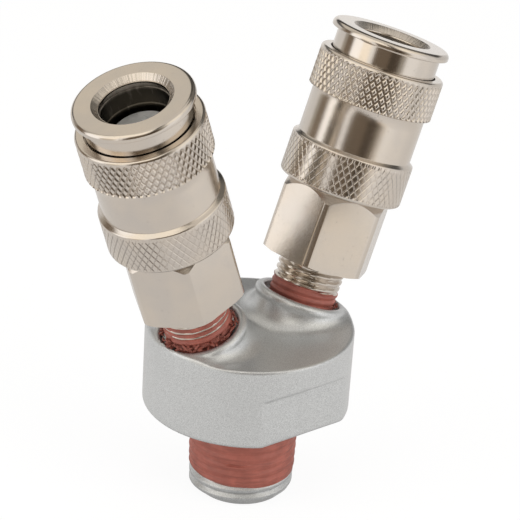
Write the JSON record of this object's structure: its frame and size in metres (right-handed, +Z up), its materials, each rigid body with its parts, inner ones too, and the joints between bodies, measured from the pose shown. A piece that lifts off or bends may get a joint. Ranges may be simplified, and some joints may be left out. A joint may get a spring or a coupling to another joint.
{
  "type": "two-way quick coupling splitter",
  "caption": "Compressed-air splitter: a cast drum with a male inlet thread and leaning bosses that carry knurled quick couplers with sliding sleeves, locking balls and sprung valves.",
  "frame": {"origin": "centre of the inlet thread's end face", "axes": "+Z up through the drum, +X towards the right-hand coupler, -Y towards the wrench flat that the picture shows"},
  "size_m": [0.085, 0.0414, 0.0948],
  "materials": {
    "cast_paint": "silver-grey metallic paint on a die casting",
    "nickel_plate": "satin nickel plate",
    "sealant": "dried brick-red thread sealant",
    "spring_steel": "drawn wire",
    "ball_steel": "polished ball",
    "valve_metal": "turned, satin",
    "seal_rubber": "nitrile rubber"
  },
  "bodies": {
    "root": {"manifold": "cast_paint", "inlet_sealant": "sealant", "left_coupler_body": "nickel_plate", "left_nose": "nickel_plate", "left_plug_seal": "seal_rubber", "left_thread_sealant": "sealant", "left_valve_spring": "spring_steel", "right_coupler_body": "nickel_plate", "right_nose": "nickel_plate", "right_plug_seal": "seal_rubber", "right_thread_sealant": "sealant", "right_valve_spring": "spring_steel"},
    "left_spring_pack": {"left_spring_washer": "spring_steel", "left_sleeve_spring": "spring_steel"},
    "left_sleeve": {"left_sleeve": "nickel_plate"},
    "left_valve": {"left_valve": "valve_metal", "left_valve_seal": "seal_rubber"},
    "left_ball_1": {"left_ball_1": "ball_steel"},
    "left_ball_2": {"left_ball_2": "ball_steel"},
    "left_ball_3": {"left_ball_3": "ball_steel"},
    "left_ball_4": {"left_ball_4": "ball_steel"},
    "right_spring_pack": {"right_spring_washer": "spring_steel", "right_sleeve_spring": "spring_steel"},
    "right_sleeve": {"right_sleeve": "nickel_plate"},
    "right_valve": {"right_valve": "valve_metal", "right_valve_seal": "seal_rubber"},
    "right_ball_1": {"right_ball_1": "ball_steel"},
    "right_ball_2": {"right_ball_2": "ball_steel"},
    "right_ball_3": {"right_ball_3": "ball_steel"},
    "right_ball_4": {"right_ball_4": "ball_steel"}
  },
  "joints": [
    {"name": "left_sleeve_turn", "type": "hinge", "parent": "root", "child": "left_spring_pack", "pos_m": [-0.01576, 0, 0.04671], "axis": [-0.3379, 0, 0.9412], "continuous": true},
    {"name": "left_sleeve_slide", "type": "slide", "parent": "left_spring_pack", "child": "left_sleeve", "axis": [-0.3379, 0, 0.9412], "range_m": [0, 0.004], "deforming": ["left_sleeve_spring"]},
    {"name": "left_valve_push", "type": "slide", "parent": "root", "child": "left_valve", "axis": [0.3379, 0, -0.9412], "range_m": [0, 0.004], "stiffness_N_per_m": 800, "springref_m": -0.004, "deforming": ["left_valve_spring"]},
    {"name": "left_ball_1_lock", "type": "slide", "parent": "root", "child": "left_ball_1", "axis": [0.6655, 0.7071, 0.2389], "range_m": [0, 0.00105]},
    {"name": "left_ball_2_lock", "type": "slide", "parent": "root", "child": "left_ball_2", "axis": [-0.6655, 0.7071, -0.2389], "range_m": [0, 0.00105]},
    {"name": "left_ball_3_lock", "type": "slide", "parent": "root", "child": "left_ball_3", "axis": [-0.6655, -0.7071, -0.2389], "range_m": [0, 0.00105]},
    {"name": "left_ball_4_lock", "type": "slide", "parent": "root", "child": "left_ball_4", "axis": [0.6655, -0.7071, 0.2389], "range_m": [0, 0.00105]},
    {"name": "right_sleeve_turn", "type": "hinge", "parent": "root", "child": "right_spring_pack", "pos_m": [0.01554, 0, 0.04609], "axis": [0.3379, 0, 0.9412], "continuous": true},
    {"name": "right_sleeve_slide", "type": "slide", "parent": "right_spring_pack", "child": "right_sleeve", "axis": [0.3379, 0, 0.9412], "range_m": [0, 0.004], "deforming": ["right_sleeve_spring"]},
    {"name": "right_valve_push", "type": "slide", "parent": "root", "child": "right_valve", "axis": [-0.3379, 0, -0.9412], "range_m": [0, 0.004], "stiffness_N_per_m": 800, "springref_m": -0.004, "deforming": ["right_valve_spring"]},
    {"name": "right_ball_1_lock", "type": "slide", "parent": "root", "child": "right_ball_1", "axis": [0.6655, 0.7071, -0.2389], "range_m": [0, 0.00105]},
    {"name": "right_ball_2_lock", "type": "slide", "parent": "root", "child": "right_ball_2", "axis": [-0.6655, 0.7071, 0.2389], "range_m": [0, 0.00105]},
    {"name": "right_ball_3_lock", "type": "slide", "parent": "root", "child": "right_ball_3", "axis": [-0.6655, -0.7071, 0.2389], "range_m": [0, 0.00105]},
    {"name": "right_ball_4_lock", "type": "slide", "parent": "root", "child": "right_ball_4", "axis": [0.6655, -0.7071, -0.2389], "range_m": [0, 0.00105]}
  ],
  "couplings": [
    {"joint": "left_ball_1_lock", "follows": "left_sleeve_slide", "ratio": 0.2625},
    {"joint": "left_ball_2_lock", "follows": "left_sleeve_slide", "ratio": 0.2625},
    {"joint": "left_ball_3_lock", "follows": "left_sleeve_slide", "ratio": 0.2625},
    {"joint": "left_ball_4_lock", "follows": "left_sleeve_slide", "ratio": 0.2625},
    {"joint": "right_ball_1_lock", "follows": "right_sleeve_slide", "ratio": 0.2625},
    {"joint": "right_ball_2_lock", "follows": "right_sleeve_slide", "ratio": 0.2625},
    {"joint": "right_ball_3_lock", "follows": "right_sleeve_slide", "ratio": 0.2625},
    {"joint": "right_ball_4_lock", "follows": "right_sleeve_slide", "ratio": 0.2625}
  ]
}
